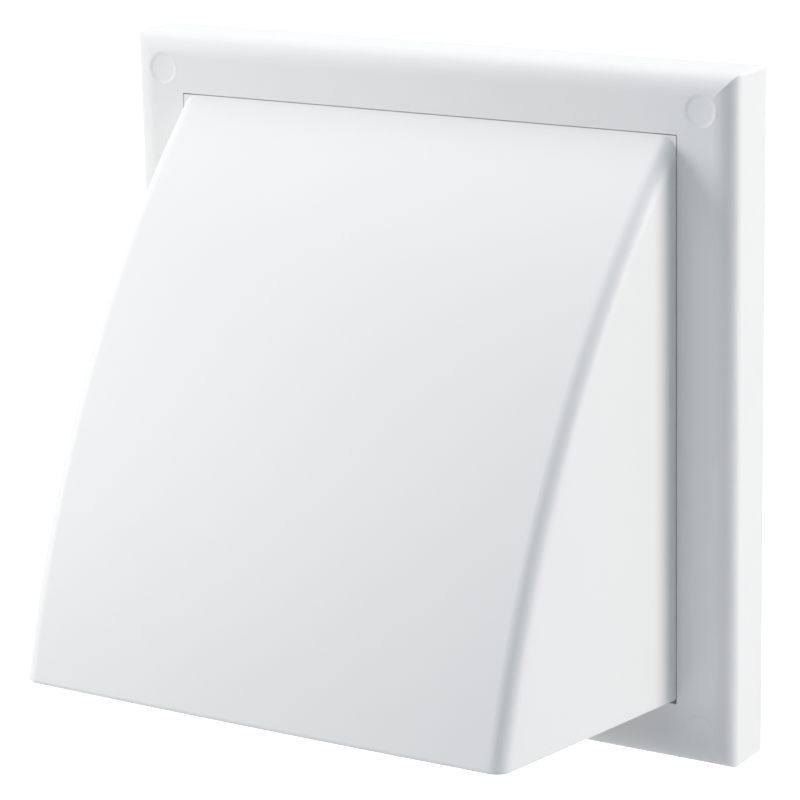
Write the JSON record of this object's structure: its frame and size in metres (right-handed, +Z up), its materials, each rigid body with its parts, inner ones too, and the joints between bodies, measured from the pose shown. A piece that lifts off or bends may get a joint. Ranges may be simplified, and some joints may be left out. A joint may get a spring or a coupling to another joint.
{
  "type": "hooded wall vent",
  "caption": "Square moulded wall flange with a bowed, open-bottomed hood over a gravity back-draught flap, a round duct spigot behind and press-in caps over the fixing screws.",
  "frame": {"origin": "on the duct's axis, in the plane of the wall", "axes": "+X to the right as seen from outdoors, +Y into the wall along the duct, +Z up"},
  "size_m": [0.186, 0.1462, 0.186],
  "materials": {
    "flange_plastic": "satin moulded white",
    "hood_plastic": "satin moulded white",
    "flap_plastic": "fine matt moulded white",
    "cap_plastic": "satin moulded white"
  },
  "bodies": {
    "vent": {"wall_flange": "flange_plastic", "hood": "hood_plastic", "screw_cap_top_left": "cap_plastic", "screw_cap_top_right": "cap_plastic", "screw_cap_bottom_left": "cap_plastic", "screw_cap_bottom_right": "cap_plastic"},
    "swinging_flap": {"flap": "flap_plastic"}
  },
  "joints": [
    {"name": "flap_hinge", "type": "hinge", "parent": "vent", "child": "swinging_flap", "pos_m": [0, -0.0095, 0.067], "axis": [-1, 0, 0], "range_deg": [0, 33]}
  ]
}
